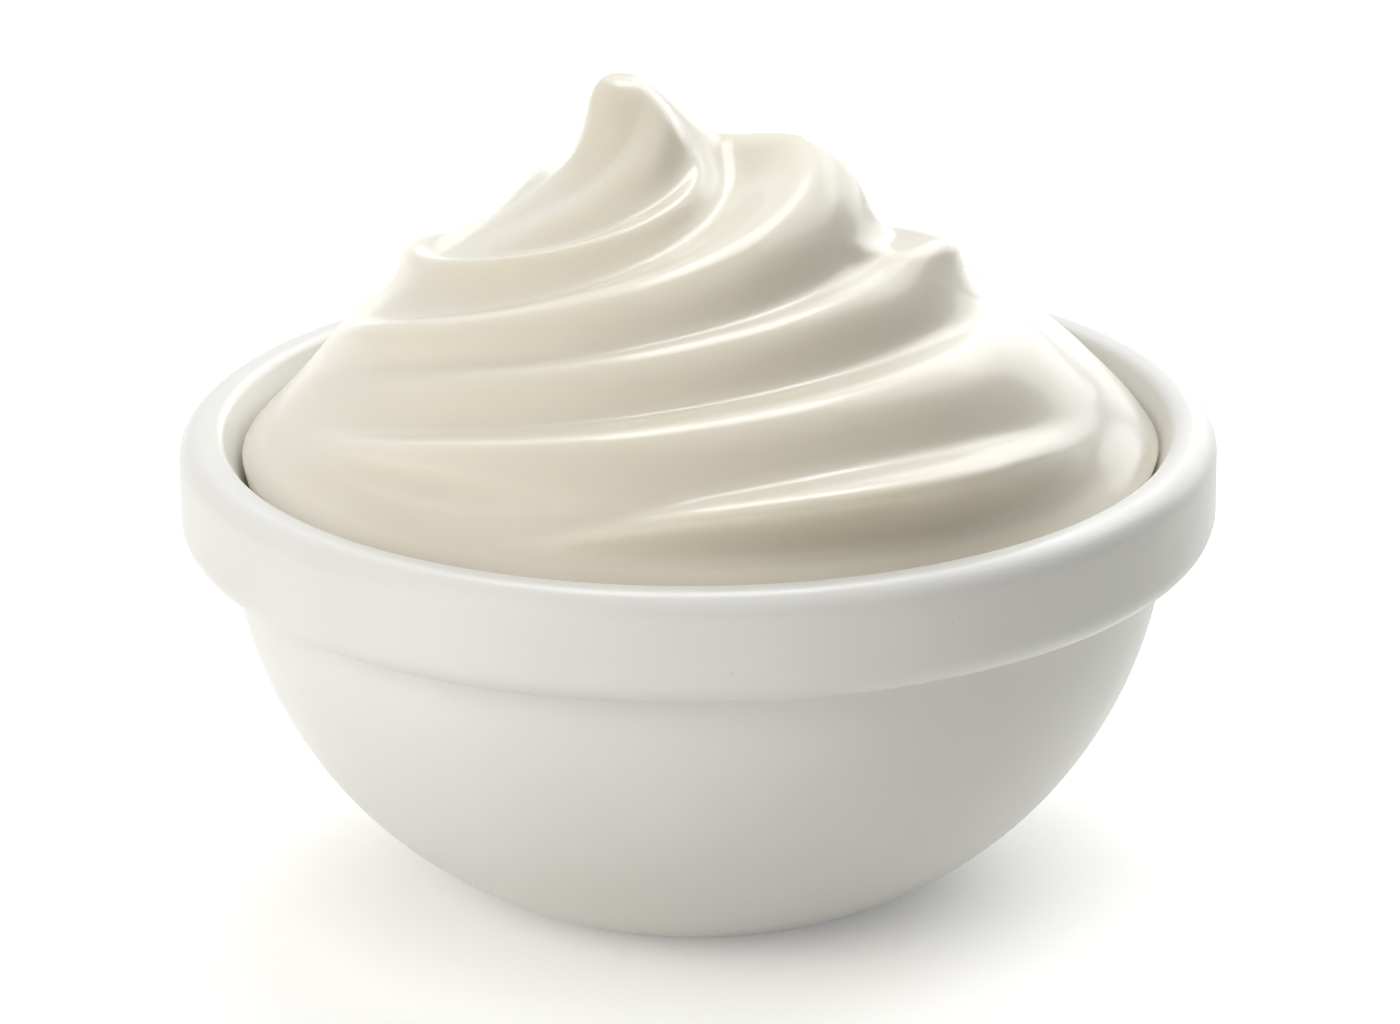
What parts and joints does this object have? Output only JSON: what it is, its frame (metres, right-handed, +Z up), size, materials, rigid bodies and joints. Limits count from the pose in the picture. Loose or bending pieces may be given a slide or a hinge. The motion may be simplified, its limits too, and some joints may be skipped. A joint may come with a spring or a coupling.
{
  "type": "bowl of whipped cream",
  "caption": "Round white ceramic bowl with a raised band round its rim, heaped with glossy off-white whipped cream swirled up to a leaning tip.",
  "frame": {"origin": "on the bowl's axis, at the plane of its foot ring", "axes": "+Z up along the bowl's axis; the side shown in the picture faces -Y, and the cream's tip leans towards -X"},
  "size_m": [0.12, 0.12, 0.0964],
  "materials": {
    "glazed_bowl": "glossy white glaze, a little grey where the light leaves it",
    "whipped_cream": "soft wet gloss, light passes a little way in"
  },
  "bodies": {
    "root": {"bowl": "glazed_bowl", "cream": "whipped_cream"}
  },
  "joints": []
}
